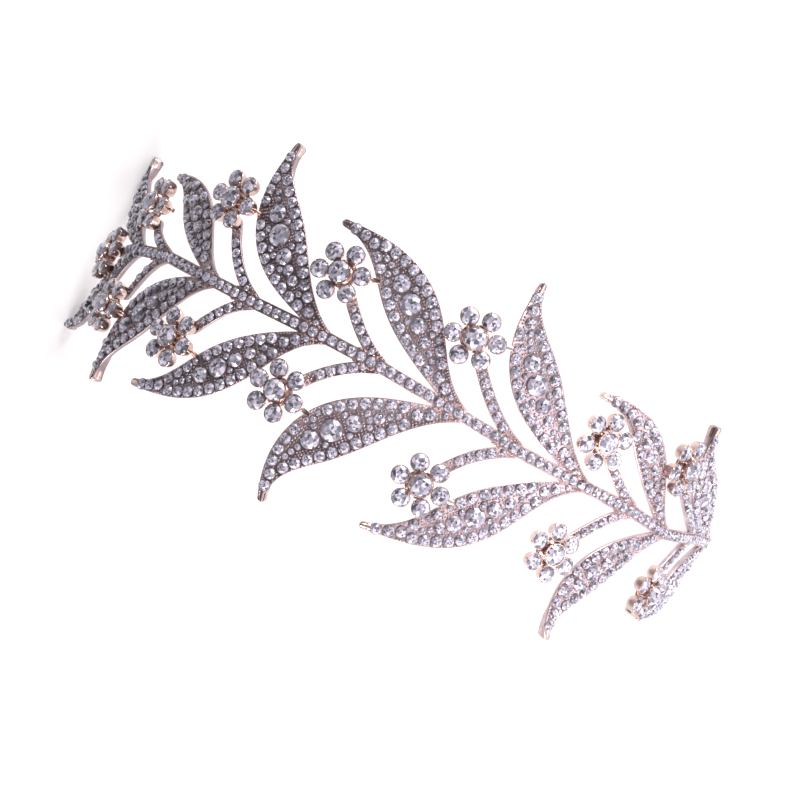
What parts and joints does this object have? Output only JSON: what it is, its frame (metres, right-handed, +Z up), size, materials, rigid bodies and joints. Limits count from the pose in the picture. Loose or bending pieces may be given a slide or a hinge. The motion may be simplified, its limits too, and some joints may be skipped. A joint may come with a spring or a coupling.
{
  "type": "bridal tiara",
  "caption": "Arched bridal headband tiara: a soldered vine of stone-set leaves with raised six-petal flowers on stalks between them.",
  "frame": {"origin": "middle of the arch's mouth, on the plane the tiara stands on, midway along the chord between its two ends and level with the stem", "axes": "+X along the chord from the vine's tip to its root, +Y across the band, +Z up through the top of the arch"},
  "size_m": [0.1544, 0.0683, 0.0711],
  "materials": {
    "rose_gold": "polished rose gold plate",
    "crystal": "clear cut stone"
  },
  "bodies": {
    "root": {"upper_leaf_1": "rose_gold", "upper_leaf_2": "rose_gold", "upper_leaf_3": "rose_gold", "upper_leaf_4": "rose_gold", "upper_leaf_5": "rose_gold", "upper_leaf_6": "rose_gold", "upper_leaf_7": "rose_gold", "lower_leaf_1": "rose_gold", "lower_leaf_2": "rose_gold", "lower_leaf_3": "rose_gold", "lower_leaf_4": "rose_gold", "lower_leaf_5": "rose_gold", "lower_leaf_6": "rose_gold", "lower_leaf_7": "rose_gold", "upper_stalk_1": "rose_gold", "upper_stalk_2": "rose_gold", "upper_stalk_3": "rose_gold", "upper_stalk_4": "rose_gold", "upper_stalk_5": "rose_gold", "upper_stalk_6": "rose_gold", "lower_stalk_1": "rose_gold", "lower_stalk_2": "rose_gold", "lower_stalk_3": "rose_gold", "lower_stalk_4": "rose_gold", "lower_stalk_5": "rose_gold", "lower_stalk_6": "rose_gold", "tip_stalk": "rose_gold", "upper_flower_1": "rose_gold", "upper_flower_2": "rose_gold", "upper_flower_3": "rose_gold", "upper_flower_4": "rose_gold", "upper_flower_5": "rose_gold", "upper_flower_6": "rose_gold", "lower_flower_1": "rose_gold", "lower_flower_2": "rose_gold", "lower_flower_3": "rose_gold", "lower_flower_4": "rose_gold", "lower_flower_5": "rose_gold", "lower_flower_6": "rose_gold", "tip_flower": "rose_gold", "centre_settings": "rose_gold", "centre_stones": "crystal", "petal_stones": "crystal", "accent_stones": "crystal", "upper_leaf_stones": "crystal", "lower_leaf_stones": "crystal", "stalk_stones": "crystal", "stem_stones": "crystal"}
  },
  "joints": []
}
